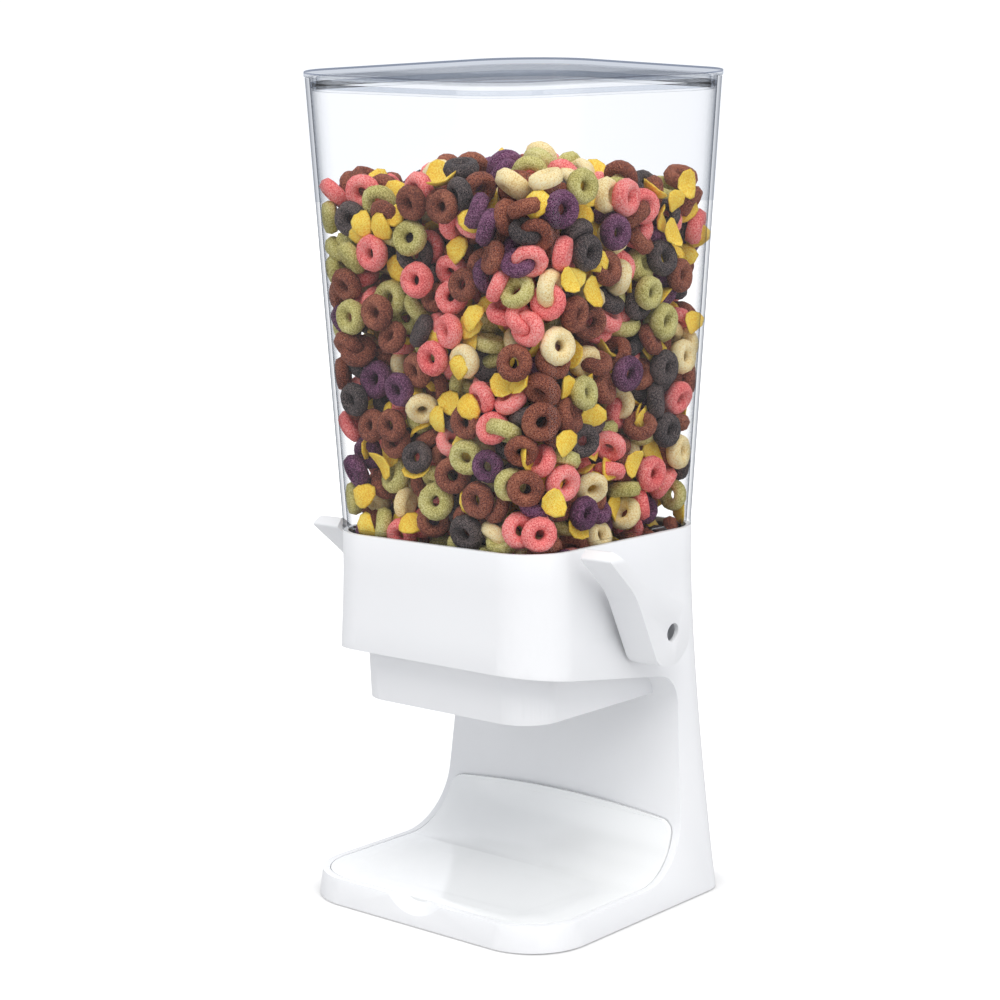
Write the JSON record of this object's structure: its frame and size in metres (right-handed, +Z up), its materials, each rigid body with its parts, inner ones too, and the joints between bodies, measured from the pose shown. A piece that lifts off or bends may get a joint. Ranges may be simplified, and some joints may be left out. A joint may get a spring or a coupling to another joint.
{
  "type": "cereal dispenser",
  "caption": "Countertop cereal dispenser: clear tapered square hopper with lid on a white C-shaped stand, two side levers that open a sprung flap over a bowl space.",
  "frame": {"origin": "on the floor under the centre line of the hopper, at the bottom centre of the whole object", "axes": "+Z up; -Y is the front, where the bowl goes in; +X is the user's right when facing the front"},
  "size_m": [0.1868, 0.1616, 0.4],
  "materials": {
    "white_plastic": "white moulded plastic, satin gloss",
    "base_plastic": "white moulded plastic, matt",
    "inner_plastic": "white moulded plastic, smooth",
    "lever_plastic": "white moulded plastic, satin gloss",
    "tray_plastic": "white moulded plastic, high gloss",
    "clear_plastic": "clear moulded plastic, polished",
    "lid_clear_plastic": "clear moulded plastic, polished",
    "clear_silicone": "clear silicone",
    "seal_silicone": "pale grey silicone",
    "foot_rubber": "grey rubber, matt",
    "bush_plastic": "natural nylon",
    "shaft_steel": "drawn steel rod",
    "spring_steel": "spring wire",
    "screw_steel": "zinc-plated steel",
    "cereal": "loose puffed cereal"
  },
  "bodies": {
    "stand": {"stand_shell": "white_plastic", "rear_cover": "white_plastic", "rear_cover_screws": "screw_steel", "base_plate": "base_plastic", "base_screws": "screw_steel", "rubber_feet": "foot_rubber", "outlet_chute": "white_plastic", "housing_screws": "screw_steel", "funnel": "inner_plastic", "shaft_bush_right": "bush_plastic", "shaft_bush_left": "bush_plastic", "torsion_spring_right": "spring_steel", "torsion_spring_left": "spring_steel"},
    "gate": {"cross_shaft": "shaft_steel", "gate_flap": "inner_plastic", "flap_seal": "seal_silicone", "lever_right": "lever_plastic", "lever_left": "lever_plastic", "lever_screws": "screw_steel"},
    "tray": {"catch_tray": "tray_plastic"},
    "hopper": {"hopper": "clear_plastic", "hopper_seal": "clear_silicone", "cereal_fill": "cereal"},
    "lid": {"lid": "lid_clear_plastic", "lid_gasket": "clear_silicone"}
  },
  "joints": [
    {"name": "lever_press", "type": "hinge", "parent": "stand", "child": "gate", "pos_m": [0, 0.005, 0.1395], "axis": [1, 0, 0], "range_deg": [0, 28], "stiffness_Nm_per_rad": 0.15, "springref_deg": -34.38, "deforming": ["torsion_spring_right", "torsion_spring_left"]},
    {"name": "tray_lift", "type": "slide", "parent": "stand", "child": "tray", "axis": [0, 0, 1], "range_m": [0, 0.045]},
    {"name": "hopper_lift", "type": "slide", "parent": "stand", "child": "hopper", "axis": [0, 0, 1], "range_m": [0, 0.1]},
    {"name": "lid_lift", "type": "slide", "parent": "hopper", "child": "lid", "axis": [0, 0, 1], "range_m": [0, 0.06]}
  ]
}
